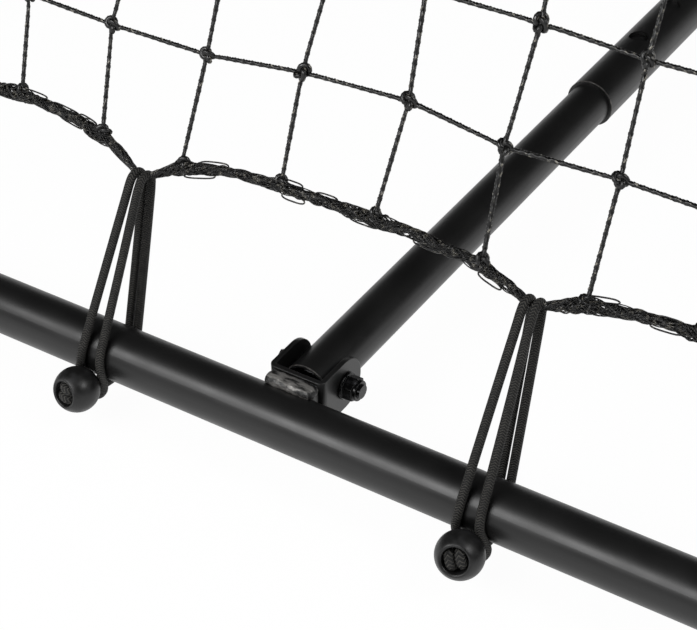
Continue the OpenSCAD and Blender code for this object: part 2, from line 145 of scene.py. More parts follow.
class Shell:
    """Collects swept tubes into one mesh, with a UV of turns round and metres along."""

    def __init__(self):
        self.points, self.faces, self.uvs, self.count = [], [], [], 0

    def tube(self, path, ring, up=None, closed=False):
        """Sweeps a section, or one section for each point, along a path.

        up is the direction that the section's second axis keeps to; without it the
        section is carried along with no twist.
        """
        if closed:
            along = unit_rows(np.roll(path, -1, 0) - np.roll(path, 1, 0))
        else:
            along = unit_rows(np.gradient(path, axis=0))
        if up is None:
            ups = np.empty_like(path)
            # It starts square to the path, in a direction that no cord runs in.
            carried = np.cross(along[0], (0.36, 0.48, 0.8))
            for i, direction in enumerate(along):
                carried = carried - direction * (carried @ direction)
                carried = carried / np.linalg.norm(carried)
                ups[i] = carried
        else:
            ups = unit_rows(up - along * np.sum(along * up, axis=1, keepdims=True))
        ring = np.broadcast_to(ring, (len(path), *np.shape(ring)[-2:]))
        sides = ring.shape[1]
        verts = (path[:, None] + ring[:, :, :1] * np.cross(ups, along)[:, None]
                 + ring[:, :, 1:] * ups[:, None]).reshape(-1, 3)
        run = run_along(path, closed)
        self.skin(verts, run, sides, closed)
        if not closed:
            self.cap(verts[:sides], path[0], run[0], -1)
            self.cap(verts[-sides:], path[-1], run[-1], 1)

    def spin(self, profile, place, axes, sides):
        """Turns a closed profile of (radius, height) round the third of the axes."""
        rounds = polar(profile[:, :1], full_turn(sides))
        heights = np.repeat(profile[:, 1:, None], sides, axis=1)
        verts = place + np.concatenate([rounds, heights], axis=2).reshape(-1, 3) @ axes
        self.skin(verts, run_along(profile, True), sides, True)

    def skin(self, verts, run, sides, closed):
        """Joins sections of that many sides with quads. run is each one's place along."""
        rows = len(verts) // sides
        count = rows if closed else rows - 1
        i = np.repeat(np.arange(count), sides)
        k = np.tile(np.arange(sides), count)
        nxt, around = (i + 1) % rows, (k + 1) % sides
        quads = np.stack([i * sides + k, i * sides + around,
                          nxt * sides + around, nxt * sides + k], axis=1)
        u0, u1 = k / sides, (k + 1) / sides
        uv = np.stack([u0, run[i], u1, run[i], u1, run[i + 1], u0, run[i + 1]], axis=1)
        self.add(verts, quads, uv.reshape(-1, 2))

    def cap(self, ring, centre, run, order):
        """Closes a tube's end with a fan, whose faces order turns outwards."""
        sides = len(ring)
        k = np.arange(sides)
        fan = np.stack([k, (k + 1) % sides, np.full(sides, sides)], axis=1)[:, ::order]
        self.add(np.vstack([ring, centre]), fan, np.full((sides * 3, 2), (0.5, run)))

    def add(self, verts, faces, uvs):
        """Adds loose vertices and faces, whose numbers start at 0."""
        self.points.append(verts)
        self.faces.extend((faces + self.count).tolist())
        self.uvs.append(uvs)
        self.count += len(verts)

    def piece(self, name, material):
        """Makes the object."""
        mesh = bpy.data.meshes.new(name)
        mesh.from_pydata(np.vstack(self.points), [], self.faces)
        layer = mesh.uv_layers.new(name=UV_NAME)
        layer.data.foreach_set("uv", np.vstack(self.uvs).astype(np.float32).ravel())
        mesh.polygons.foreach_set("use_smooth", np.ones(len(mesh.polygons), bool))
        mesh.materials.append(material)
        mesh.update()
        return add_object(name, mesh)


# ---- finishes ------------------------------------------------------------

# Noise levels that most of a noise lies between.
MOST = (0.35, 0.65)


def linear(hex_colour):
    """An sRGB hex colour as linear RGBA."""
    values = [int(hex_colour[i:i + 2], 16) / 255 for i in (0, 2, 4)]
    return (*(v / 12.92 if v <= 0.04045 else ((v + 0.055) / 1.055) ** 2.4 for v in values), 1)


def add_node(tree, kind, sockets=(), **settings):
    """Adds a node with its settings and gives its outputs.

    sockets holds what to link or set, by name or number, or as a row from the first on.
    """
    node = tree.nodes.new("ShaderNode" + kind)
    for name, value in settings.items():
        setattr(node, name, value)
    for name, value in sockets.items() if isinstance(sockets, dict) else enumerate(sockets):
        if isinstance(value, bpy.types.NodeSocket):
            tree.links.new(value, node.inputs[name])
        else:
            node.inputs[name].default_value = value
    return node.outputs


def new_finish(name):
    """An empty material and its node tree."""
    material = bpy.data.materials.new(name)
    material.use_nodes = True
    material.node_tree.nodes.clear()
    return material, material.node_tree


def close_finish(tree, shades, share, roughness, relief, shader):
    """Ends a tree: two shades mixed by a share, a relief as its height, depth in metres
    and strength, and the shader's other sockets."""
    mixed = add_node(tree, "Mix", {0: share, 6: shades[0], 7: shades[1]}, data_type="RGBA")
    sockets = {"Base Color": mixed[2], "Roughness": roughness, **shader}
    if relief:
        height, depth, strength = relief
        sockets["Normal"] = add_node(tree, "Bump", {
            "Height": height, "Distance": depth, "Strength": strength})["Normal"]
    surface = add_node(tree, "BsdfPrincipled", sockets)["BSDF"]
    add_node(tree, "OutputMaterial", {"Surface": surface})


def lumps(tree, size, detail):
    """Noise whose lumps are about that many millimetres across, on all axes or on each."""
    place = add_node(tree, "TexCoord")["Object"]
    scale = 1 / (np.broadcast_to(size, 3) * MM)
    place = add_node(tree, "Mapping", {"Vector": place, "Scale": scale})["Vector"]
    return add_node(tree, "TexNoise", {"Vector": place, "Scale": 1, "Detail": detail})["Fac"]


def patches(tree, size, detail, start, end, low=0.0, high=1.0):
    """Lumps whose noise from start to end is spread from low to high."""
    return add_node(tree, "MapRange", (lumps(tree, size, detail), start, end, low, high))[0]


def mottled_finish(name, shades, clouds, gloss, peel=None, bare=0.0, shader=()):
    """A finish of two shades. clouds, gloss and peel start with the size and detail of
    their lumps. clouds ends with the noise levels between which the shades mix, gloss with
    two roughnesses, and peel with the relief's depth in millimetres and strength. bare is
    how metallic the second shade is, and shader holds the shader's other sockets."""
    material, tree = new_finish(name)
    share = patches(tree, *clouds)
    shader = dict(shader)
    if bare:
        shader["Metallic"] = add_node(tree, "Math", (share, bare), operation="MULTIPLY")[0]
    size, detail, low, high = gloss
    roughness = patches(tree, size, detail, *MOST, low, high)
    relief = peel and (lumps(tree, *peel[:2]), peel[2] * MM, peel[3])
    close_finish(tree, shades, share, roughness, relief, shader)
    return material


def powder_coat(colours):
    """Polyester powder coat, sprayed and baked on steel tube."""
    # It gives a satin black with a soft broad highlight and a faint orange peel.
    return mottled_finish("satin_powder_coat_on_steel_tube", (colours.coat, colours.coat_worn),
                          clouds=(60, 2, *MOST), gloss=(25, 2, 0.37, 0.43),
                          peel=(1.6, 3, 0.02, 0.5), shader={"Specular IOR Level": 0.55})


def worn_edge_and_highlight(colours):
    """Powder coat on a sawn tube edge, drawn thin in the oven and rubbed in use."""
    # It gives a thin light line along the rim, partly steel that shows through the coat
    # and partly a painted highlight.
    return mottled_finish("thin_powder_coat_and_painted_highlight_on_sawn_edge",
                          (colours.coat_worn, colours.bare_edge_and_highlight), clouds=(3, 4, *MOST),
                          gloss=(3, 4, 0.4, 0.28), shader={"Metallic": 0.3})


def weld_finish(colours):
    """Arc weld bead, brushed and thinly coated."""
    # The bead stays rough and lets grey metal glint through on its ripples, in smears
    # that are drawn out along the rail.
    return mottled_finish("coated_arc_weld_bead", (colours.coat, colours.weld),
                          clouds=((3.2 / 0.3, 3.2, 3.2), 4, 0.48, 0.66), bare=0.7,
                          gloss=(1.2, 4, 0.5, 0.34), peel=(1.2, 4, 0.3, 0.8))


def moulded_nylon(colours):
    """Nylon, injection moulded in a lightly spark-eroded tool."""
    # It gives a matt black with a fine grain that breaks up the highlight.
    return mottled_finish("moulded_black_nylon", (colours.nylon, colours.coat_worn),
                          clouds=(30, 2, *MOST), gloss=(0.8, 4, 0.5, 0.62),
                          peel=(0.8, 4, 0.08, 0.6), shader={"IOR": 1.53})


def moulded_rubber(colours):
    """Rubber, compression moulded."""
    # It gives a dull charcoal with a dusty bloom.
    return mottled_finish("moulded_black_rubber", (colours.rubber, colours.rubber_bloom),
                          clouds=(12, 5, *MOST), gloss=(12, 5, 0.68, 0.82),
                          peel=(0.7, 3, 0.06, 0.6), shader={"IOR": 1.52})


def black_zinc(colours):
    """Steel, cold headed, zinc plated and black passivated."""
    # It gives a dark glossy metal with small bright glints on its edges.
    return mottled_finish("black_zinc_plated_steel", (colours.zinc, colours.zinc_worn),
                          clouds=(2.5, 6, 0.5, 0.7), gloss=(2.5, 6, 0.2, 0.3),
                          peel=(2.5, 6, 0.01, 0.2), shader={"Metallic": 0.6})


def spring_steel(colours):
    """Spring steel strip, cold rolled and tempered."""
    # It gives a bright grey with fine rolling lines along the strip.
    lines = (0.5, 10, 0.5)
    return mottled_finish("cold_rolled_spring_steel", (colours.spring, colours.spring_dark),
                          clouds=(lines, 2, *MOST), gloss=(lines, 2, 0.28, 0.4),
                          peel=(lines, 2, 0.02, 0.5), shader={"Metallic": 1.0})


def moulded_ball(colours):
    """Polypropylene ball, moulded in two halves and tumbled."""
    # It gives a matt black with a wide soft highlight and faint scuffs.
    return mottled_finish("moulded_black_polypropylene", (colours.nylon, colours.ball_scuff),
                          clouds=(5, 6, 0.45, 0.7), gloss=(5, 6, 0.37, 0.5),
                          peel=(0.9, 3, 0.05, 0.5), shader={"IOR": 1.49})


def polyethylene(colours, name, filaments, slant):
    """Polyethylene filaments, drawn flat and glossy. filaments is how many lie round a
    strand, and slant is their turns in a metre."""
    # Its base colour holds painted highlights: small bright lines that run askew along each
    # strand, where its waxy filaments would catch the light. Real filaments are 0.3 mm wide;
    # they are drawn wider so that they show.
    material, tree = new_finish(name)
    uv = add_node(tree, "UVMap", uv_map=UV_NAME)["UV"]
    waves = 2 * math.pi * filaments
    phase = add_node(tree, "VectorMath", (uv, (waves, waves * slant, 0)),
                     operation="DOT_PRODUCT")["Value"]
    ridge = add_node(tree, "Math", (phase,), operation="COSINE")[0]
    crests = add_node(tree, "MapRange", (ridge, 0.1, 1, 0, 1))[0]
    # The glint is a painted highlight in the base colour, on the crests of the ridges.
    glint = add_node(tree, "Math", (patches(tree, 2.6, 4, 0.54, 0.63), crests),
                     operation="MULTIPLY")[0]
    close_finish(tree, (colours.twine, colours.twine_painted_glint), glint,
                 patches(tree, 2.6, 4, *MOST, 0.5, 0.25), (ridge, 0.09 * MM, 0.8),
                 {"IOR": 1.51})
    return material


def twisted_twine(colours):
    """Polyethylene filaments, twisted into a twine whose shape holds its lay."""
    # It gives a black with two fine painted highlight lines along each strand.
    return polyethylene(colours, "twisted_polyethylene_twine", 2, 0)


def braided_rope(colours):
    """Polyethylene filaments, braided loosely into a rope."""
    # It gives a black with short painted highlight flecks that cross each strand.
    return polyethylene(colours, "braided_polyethylene_rope", 5, 110)


def woven_elastic(colours):
    """Polyester yarn, braided in a herringbone round rubber cores."""
    # Its fine crossed ribs read as a dense dull weave, with a painted sheen on their crests.
    material, tree = new_finish("braided_elastic_cord_cover")
    # The real yarns lie 0.7 mm apart; they are drawn 1.4 mm apart so that they show.
    yarn_pitch, columns, yarn_slope = 1.4 * MM, 8, 5.4
    uv = add_node(tree, "UVMap", uv_map=UV_NAME)["UV"]
    weft = add_node(tree, "VectorMath", (uv, (columns, 2 * math.pi / yarn_pitch, 0)),
                    operation="MULTIPLY")["Vector"]
    parts = add_node(tree, "SeparateXYZ", (weft,))
    fold = add_node(tree, "Math", (parts["X"], 1), operation="PINGPONG")[0]
    phase = add_node(tree, "Math", (fold, yarn_slope, parts["Y"]),
                     operation="MULTIPLY_ADD")[0]
    weave = add_node(tree, "Math", (phase,), operation="SINE")[0]
    # The crests of the weave get a lighter colour, a painted sheen.
    crests = add_node(tree, "MapRange", (weave, 0.2, 1, 0, 1))[0]
    painted_sheen_share = add_node(tree, "Math", (crests, patches(tree, 4, 3, *MOST, 0.45, 1)),
                      operation="MULTIPLY")[0]
    close_finish(tree, (colours.cord, colours.cord_painted_sheen), painted_sheen_share, 0.7,
                 (weave, 0.16 * MM, 1), {"IOR": 1.48})
    return material


# ---- settings ------------------------------------------------------------


def length_setting(name, description, millimetres):
    """A length that a user may change."""
    return bpy.props.FloatProperty(name=name, description=description, min=0.0,
                                   default=millimetres * MM, unit="LENGTH", precision=4)


def colour_setting(name, description, hex_colour):
    """A colour that a user may change."""
    return bpy.props.FloatVectorProperty(name=name, description=description, size=4,
                                         subtype="COLOR", min=0.0, max=1.0,
                                         default=linear(hex_colour))


class RebounderNet(bpy.types.PropertyGroup):
    """Sizes of the net and its border rope."""

    meshes: bpy.props.IntProperty(
        name="Meshes", description="Meshes along each side of the net", default=15, min=3)
    mesh_size: length_setting("Mesh size", "Side of one square mesh", 60)
    twine_d: length_setting("Twine", "Thickness of the net twine", 2.8)
    twine_lay: length_setting("Twine lay", "Length of one turn of the twine", 11)
    knot_w: length_setting("Knot", "Width of one knot", 9.4)
    rope_d: length_setting("Border rope", "Thickness of the border rope", 5.0)
    rope_pull: length_setting("Rope pull", "How far a tie pulls the border rope out", 17)
    rope_line: length_setting("Rope line", "From the tube axis to the border rope", 121)


class RebounderTies(bpy.types.PropertyGroup):
    """Sizes of the bungee ties."""

    spacing: length_setting("Spacing", "Distance between neighbouring ties", 240)
    per_side: bpy.props.IntProperty(
        name="Ties per side", description="Ties along one side of the frame", default=4,
        min=1)
    cord_d: length_setting("Cord", "Diameter of the bungee cord", 5.0)
    ball_d: length_setting("Ball", "Diameter of the ball", 26)
    bore_d: length_setting("Bore", "Bore through the ball", 10.6)
    mouth_d: length_setting("Mouth", "Wide mouth at the front of the ball", 14)
    mouth_floor: length_setting("Mouth floor", "From the ball's middle to the mouth's floor", 3)


class RebounderColours(bpy.types.PropertyGroup):
    """Colours of the finishes."""

    coat: colour_setting("Powder coat", "Black of the powder coat", "0e0e0e")
    coat_worn: colour_setting("Worn coat", "Lighter shade of the powder coat", "131313")
    # The bare edge grey is partly worn coat and partly a painted highlight on the tube rims.
    bare_edge_and_highlight: colour_setting("Bare edge", "Steel that shows on sawn tube edges", "615f5c")
    weld: colour_setting("Weld", "Grey of the weld bead", "8e8c89")
    nylon: colour_setting("Nylon", "Black of the moulded plastic", "121212")
    ball_scuff: colour_setting("Ball scuffs", "Lighter shade on the balls", "1e1e1f")
    rubber: colour_setting("Rubber", "Black of the feet", "161616")
    rubber_bloom: colour_setting("Rubber bloom", "Dusty shade on the feet", "242423")
    zinc: colour_setting("Black zinc", "Colour of the fasteners", "0c0c0d")
    zinc_worn: colour_setting("Worn zinc", "Lighter shade of the fasteners", "2a2a2c")
    spring: colour_setting("Spring steel", "Colour of the leaf spring", "b4b4b6")
    spring_dark: colour_setting("Spring steel, dark", "Dark lines of the spring", "8c8c90")
    twine: colour_setting("Twine", "Black of the twine and rope", "060606")
    # The twine's glint colour is a painted highlight on the crests of its strands.
    twine_painted_glint: colour_setting("Twine glints", "Light filaments of the twine", "8a867c")
    cord: colour_setting("Cord", "Black of the bungee cord", "060606")
    # The cord's stitch colour is a painted sheen on the crests of its weave.
    cord_painted_sheen: colour_setting("Cord stitches", "Light stitches of the cord", "45433e")
    floor: colour_setting("Floor", "Colour of the floor", "fbfbfb")


FINISHES = {}


def finish(context, maker):
    """The finish that a function above makes, kept from its first use on."""
    if maker not in FINISHES:
        FINISHES[maker] = maker(context.scene.rebounder_colours)
    return FINISHES[maker]


def dress(node, material, edge=0.0):
    """Gives a CAD node its finish, and breaks its sharp edges by that much."""
    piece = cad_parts[node]
    for slot in piece.material_slots:
        slot.material = material
    if edge:
        weld = piece.modifiers.new("joined_edges", "WELD")
        weld.merge_threshold = 0.002 * MM
        bevel = piece.modifiers.new("broken_edges", "BEVEL")
        bevel.width = edge
        bevel.segments = 2
        bevel.limit_method = "ANGLE"
        bevel.angle_limit = math.radians(40)
        bevel.harden_normals = True


# ---- net and border rope -------------------------------------------------

NET_SEED, ROPE_SEED = 11, 23
# Each tie was pulled and pushed by hand. A row holds, in millimetres and degrees: its
# shift along the tube, the lean of its cords, extra pull on the rope, shift of the ball,
# tip of the ball away from the net, turn of the ball to one side, and twist of its knot.
TIE_PLAY = np.array([
    [-2.5, 1.0, 1.5, -1.0, 4, 5, 35],
    [4.0, 2.1, 5.5, -2.3, 11, -9, 80],
    [3.8, 2.4, -1.5, 1.9, 2, 11, 28],
    [-1.5, -1.8, 2.5, 0.6, -5, -4, 150],
]) * np.array([MM] * 4 + [math.pi / 180] * 3)


def tie_rows(side, ties):
    """Place along one side, lean, pull, ball shift, tip, turn and twist of each tie."""
    rows = np.roll(TIE_PLAY, side, axis=0)[np.arange(ties.per_side) % len(TIE_PLAY)]
    rows[:, 0] += (np.arange(ties.per_side) - (ties.per_side - 1) / 2) * ties.spacing
    return rows


def rope_line_at(x, side, net, ties):
    """Distance of the border rope from the tube axis, at places along a side."""
    rows = tie_rows(side, ties)
    net_half = net.meshes * net.mesh_size / 2
    x = np.asarray(x, float)[:, None]
    outer = (x < rows[0, 0]) | (x > rows[-1, 0])
    reach = np.where(outer, net_half - np.abs(rows[:, 0]), ties.spacing / 2)
    share = np.clip(1 - np.abs(x - rows[:, 0]) / reach, 0, 1)
    return net.rope_line - ((net.rope_pull + rows[:, 2]) * share**4).max(axis=1)


def net_lines(net):
    """Places of the net's strings, those in the border rope left out."""
    return (np.arange(1, net.meshes) - net.meshes / 2) * net.mesh_size


def rolling_noise(count, size, rng):
    """Smooth closed noise of spread 1, whose swells are about that many points long."""
    raw = np.fft.rfft(rng.normal(0, 1, count))
    soft = np.fft.irfft(raw * np.exp(-(np.fft.rfftfreq(count, 1) * size) ** 2 * 4), count)
    return soft / soft.std()


def twine_string(places, rng):
    """Points along one string through its knots, which it enters off their middles."""
    step, kick, bend = 1.1 * MM, 0.5 * MM, 5 * MM
    points = []
    for start, end in zip(places, places[1:]):
        count = max(2, round(np.linalg.norm(end - start) / step))
        t = np.arange(count)[:, None] / count
        points.append(start + (end - start) * t)
    points = np.vstack([*points, places[-1:]])
    shifts = rng.normal(0, kick, (len(places), 3)) * (1, 1, 0.5)
    for place, shift in zip(places[1:-1], shifts[1:-1]):
        near = np.exp(-np.sum((points - place) ** 2, axis=1) / bend**2)
        points += near[:, None] * shift
    return points


def twine_rings(path, net, rng):
    """Sections of two flat strands that turn with the twine's lay and swell a little."""
    sides = 6
    drift = 0.5 * rolling_noise(len(path), 30, rng)
    turn = rng.uniform(0, 6) + run_along(path) / net.twine_lay * 2 * math.pi + drift
    lobe = np.where(np.arange(sides) % 3 == 0, 1.0, 0.87) * net.twine_d / 2
    lobe = lobe * (1 + 0.05 * rolling_noise(len(path), 12, rng))[:, None]
    return polar(lobe, turn[:, None] + full_turn(sides))


def knot_path(width, rings):
    """One closed loop that winds three times through itself."""
    t = full_turn(rings)
    out = width * (0.26 + 0.12 * np.cos(3 * t))
    return np.column_stack([polar(out, 2 * t), width * 0.17 * np.sin(3 * t)])


def turned(points, angle, tilt):
    """Points turned in the net's plane and tilted a little."""
    turn = Matrix.Rotation(angle, 3, "Z") @ Matrix.Rotation(tilt, 3, "X")
    return points @ np.array(turn).T


# Knots that the makers tied off their places, by column and row from the bottom left,
# with how far in millimetres: across and up.
LOOSE_KNOTS = {
    (3, 0): (-3.0, -3.0), (4, 0): (-4.2, -5.0), (5, 0): (0.0, -4.6), (6, 0): (-1.2, 2.0),
    (7, 0): (2.0, 4.4), (8, 0): (-1.2, -2.8), (9, 0): (0.9, -0.8), (8, 1): (1.4, -0.3),
    (9, 1): (-1.5, -3.0),
}
# How far along the bottom rope, in millimetres, its knots sit off their strings' lines.
LOOSE_ENDS = {3: 4.1, 4: 3.1, 5: -2.3, 6: 0.5, 7: -1.9, 8: 2.0, 9: 0.5}


def build_net(net, ties, material):
    """Strings and knots of the net."""
    rng = np.random.default_rng(NET_SEED)
    shell = Shell()
    lines = net_lines(net)
    count = len(lines)
    play, most, end_play = np.array([1.6, 1.6, 0.6]) * MM, 3 * MM, 1.5 * MM
    lift, inset = 0.5 * MM, net.rope_d * 0.4
    knots = np.zeros((count, count, 3))
    knots[..., 0] = lines[:, None]
    knots[..., 1] = HALF + lines[None, :]
    knots += np.clip(rng.normal(0, 1, (count, count, 3)) * play, -most, most)
    for (column, row), shift in LOOSE_KNOTS.items():
        if max(column, row) < count:
            knots[column, row, :2] = np.add((lines[column], HALF + lines[row]),
                                            np.multiply(shift, MM))
    reach = [HALF - rope_line_at(lines, side, net, ties) - inset for side in range(len(SIDES))]
    rope_knots = []
    for i in range(count):
        # The top and the left side are counted from their other ends.
        for upright, first, last in ((True, reach[0][i], reach[2][-1 - i]),
                                     (False, reach[3][-1 - i], reach[1][i])):
            ends = []
            for out in (-first, last):
                line = lines[i] + rng.normal(0, end_play)
                if upright and out < 0 and i in LOOSE_ENDS:
                    line = lines[i] + LOOSE_ENDS[i] * MM
                ends.append([line, HALF + out, 0] if upright else [out, HALF + line, 0])
            rope_knots += ends
            row = knots[i] if upright else knots[:, i]
            path = twine_string(np.vstack([ends[0], row, ends[1]]), rng)
            path[:, 2] += lift if upright else -lift
            shell.tube(on_side(path), twine_rings(path, net, rng), NET_FRONT)
    ring = circle(net.twine_d * 0.52, 7)
    long_way = np.array([1.16, 0.86, 1])
    for place in [*knots.reshape(-1, 3), *rope_knots]:
        size = net.knot_w * rng.uniform(0.9, 1.1)
        loop = turned(knot_path(size, 40) * long_way, rng.uniform(0, math.pi),
                      rng.normal(0, 0.3))
        shell.tube(on_side(place + loop), ring, NET_FRONT, closed=True)
    return shell.piece("knotted_net", material)


def rope_middle(net, ties):
    """The border rope's middle line round all four sides, in the net's plane, with soft
    corners, and how thick the rope is at each point."""
    per_side, near, soft_reach, soft_size = 440, 10 * MM, 12 * MM, 4 * MM
    pinch, swell = 0.34, 0.52
    net_half = net.meshes * net.mesh_size / 2
    x = (np.arange(per_side) / per_side * 2 - 1) * net_half
    line, thick = [], []
    string_gap = np.abs(x[:, None] - net_lines(net)).min(axis=1)
    for side in range(len(SIDES)):
        # Complex numbers hold the places, as 1j turns them on to the next side.
        line.append((x + 1j * (rope_line_at(x, side, net, ties) - HALF)) * 1j**side)
        tie_gap = np.abs(x[:, None] - tie_rows(side, ties)[:, 0]).min(axis=1)
        thick.append(1 - pinch * np.exp(-(tie_gap / near) ** 2)
                     + swell * np.exp(-(string_gap / near) ** 2))
    line = np.concatenate(line)
    span = 2 * net_half / per_side
    reach = round(soft_reach / span)
    kernel = np.exp(-(np.arange(-reach, reach + 1) * span / soft_size) ** 2)
    kernel /= kernel.sum()
    soft = np.convolve(np.pad(line, reach, "wrap"), kernel, "valid")
    path = np.column_stack([soft.real, soft.imag + HALF, np.zeros(len(soft))])
    return path, np.concatenate(thick)


def build_border_rope(net, ties, material):
    """Loosely braided rope: fat strands under thin threads, with stray loops."""
    rng = np.random.default_rng(ROPE_SEED)
    shell = Shell()
    middle_line, thick = rope_middle(net, ties)
    count = len(middle_line)
    thick = thick * (1 + 0.06 * rolling_noise(count, 14, rng))
    along = unit_rows(np.roll(middle_line, -1, 0) - np.roll(middle_line, 1, 0))
    front = np.array([0.0, 0.0, 1.0])
    outward = np.cross(along, front)
    half = net.rope_d / 2

    def wind(diameter, turns, radius, sides):
        """One thread wound round the rope's middle line, wandering a little."""
        angle = turns * full_turn(count) + rng.uniform(0, 2 * math.pi)
        angle = angle + 0.5 * rolling_noise(count, 40, rng)
        out = radius * thick * (1 + 0.12 * rolling_noise(count, 6, rng))
        path = (middle_line + outward * (out * np.cos(angle))[:, None]
                + front * (out * 0.85 * np.sin(angle))[:, None])
        size = diameter / 2 * np.clip(1 + 0.15 * rolling_noise(count, 5, rng), 0.6, 1.5)
        shell.tube(on_side(path), circle(1.0, sides) * size[:, None, None], NET_FRONT,
                   closed=True)

    core_d, strand_d, thread_d = 2.3 * MM, 1.5 * MM, 0.7 * MM
    for _ in range(3):
        wind(core_d, 70, half - core_d * 0.62, 6)
    # Strands and threads wind to the left and to the right by turns.
    for index in range(9):
        wind(strand_d, (116 + index % 3 * 9) * (-1) ** (index + 1), half - strand_d / 2, 5)
    for index in range(14):
        wind(thread_d, (60 + index % 5 * 17) * (-1) ** (index + 1), half, 4)
    add_stray_loops(shell, middle_line, outward, thick * half, rng)
    return shell.piece("braided_border_rope", material)


def add_stray_loops(shell, middle_line, outward, half, rng):
    """Long stitches that stand out of both edges of the rope where it isn't narrow."""
    loop_gap, thread_d, rings, narrow = 11 * MM, 0.96 * MM, 18, half.mean() * 0.9
    # Their least and greatest length and half width, in millimetres.
    lengths, widths = (7, 11), (1.0, 1.6)
    step = np.linalg.norm(middle_line[1] - middle_line[0])
    angle = full_turn(rings)
    square = np.sign(np.cos(angle)) * np.abs(np.cos(angle)) ** 0.6
    ring = circle(thread_d / 2, 5)
    for edge in (-1, 1):
        at = rng.uniform(0, loop_gap)
        while at < step * len(middle_line):
            here = int(at / step) % len(middle_line)
            length = rng.uniform(*lengths) * MM
            there = (here + round(length / step)) % len(middle_line)
            start, end = middle_line[here], middle_line[there]
            out = outward[here] * edge
            width = rng.uniform(*widths) * MM
            centre = (start + end) / 2 + out * (half[here] + width * rng.uniform(-0.4, 0.2))
            centre[2] += rng.normal(0, 1.2 * MM)
            loop = (centre + square[:, None] * (end - start) / 2
                    + np.sin(angle)[:, None] * out * width)
            loop[:, 2] += np.cos(angle) * rng.normal(0, 0.8 * MM)
            if half[here] > narrow and half[there] > narrow and rng.uniform() < 0.6:
                shell.tube(on_side(loop), ring, NET_FRONT, closed=True)
            at += loop_gap * rng.uniform(0.7, 1.4)


# ---- bungee ties ---------------------------------------------------------

# Places round one tube: x along the tube, y towards the net and z out of the front.
BALL_AT = np.array([0, -20.8, 22.4]) * MM
ROPE_AT_TIE = 104 * MM
# Half of a cord's route, from the knot to where the cord hooks round the ball's neck.
TIE_HALF = np.array([
    [2.6, -20.8, 25.4], [2.6, -20.8, 11], [2.6, -20.8, 5.5], [2.7, -20, -0.5], [2.8, -17, -8],
    [2.9, -10.4, -15.6], [3, 0, -18.9], [3, 8, -18.4], [2.9, 60, -11.6], [2.8, 92, -7.2],
    [2.8, 99, -6], [2.9, 103.6, -4.6], [3, 105.9, -1.8], [3.1, 105.9, 1.8], [3.1, 103.6, 4.8],
    [3.2, 99, 6.2], [3.3, 92, 7.2], [4.4, 60, 11.2], [5.7, 16, 16.9], [6.1, 2, 18.7],
    [6.7, -6, 17.5], [7.7, -11.2, 14.7], [8.3, -15.8, 10.9], [7.4, -21, 7.6], [4.4, -25.2, 6.5],
]) * MM
HOOK_END = np.array([0, -26.3, 6.3]) * MM
TIE_ROUTE = np.vstack([TIE_HALF, HOOK_END, TIE_HALF[::-1] * (-1, 1, 1)])


def tie_path(row, net):
    """One cord's route, leaned and stretched to where its rope and its ball are."""
    path = smooth_path(TIE_ROUTE, 5)
    shift, lean, pull, ball = row[:4]
    rope, over_rope = net.rope_line - net.rope_pull - pull, 1.5 * MM
    up = np.clip(path[:, 1] / ROPE_AT_TIE, 0, 1)
    path[:, 1] += up * (rope - ROPE_AT_TIE + over_rope)
    # Only what lies below the tube follows the ball to its side.
    below = np.clip((-path[:, 1] - 8 * MM) / (10 * MM), 0, 1)
    path[:, 0] += shift + lean * (1 - up) + ball * below
    return path


def build_cords(side, net, ties, material):
    """The cords of one side's ties."""
    shell = Shell()
    ring = circle(ties.cord_d / 2, 16)
    for row in tie_rows(side, ties):
        shell.tube(on_side(tie_path(row, net), side), ring)
    return shell.piece(f"bungee_cords_woven_{SIDES[side]}", material)


def ball_places(side, ties):
    """Middle, axes and knot twist of each ball on a side. The bore is the third axis."""
    for shift, lean, _, ball, tip, turn, twist in tie_rows(side, ties):
        centre = BALL_AT + (shift + lean + ball, 0, 0)
        axes = np.array(Matrix.Rotation(tip, 3, "X") @ Matrix.Rotation(turn, 3, "Y")).T
        place = on_side([centre], side)[0]
        yield place, on_side(centre + axes, side) - place, twist


def arc(centre, radius, start, end, steps):
    """Points of an arc, angles in degrees."""
    return centre + polar(radius, np.radians(np.linspace(start, end, steps)))


def ball_profile(ties):
    """Section of a drilled ball, its rims rounded: (radius, height) from the bore up."""
    r, bore, mouth, floor = ties.ball_d / 2, ties.bore_d / 2, ties.mouth_d / 2, ties.mouth_floor
    rim, back_rim, step_rim = 1.1 * MM, 0.9 * MM, 0.5 * MM
    top = math.sqrt((r - rim) ** 2 - (mouth + rim) ** 2)
    low = math.sqrt((r - back_rim) ** 2 - (bore + back_rim) ** 2)
    top_angle = math.degrees(math.atan2(top, mouth + rim))
    low_angle = math.degrees(math.atan2(low, bore + back_rim))
    return np.vstack([
        arc((bore + back_rim, -low), back_rim, 180, 360 - low_angle, 6),
        arc((0, 0), r, -low_angle, top_angle, 30)[1:-1],
        arc((mouth + rim, top), rim, top_angle, 180, 6),
        [[mouth, floor + step_rim], [mouth - step_rim, floor]],
        arc((bore + step_rim, floor - step_rim), step_rim, 90, 180, 3),
    ])


def build_balls(side, ties, material):
    """The balls of one side's ties, each turned a little."""
    shell = Shell()
    profile = ball_profile(ties)
    for place, axes, _ in ball_places(side, ties):
        shell.spin(profile, place, axes, 56)
    return shell.piece(f"bungee_balls_drilled_{SIDES[side]}", material)


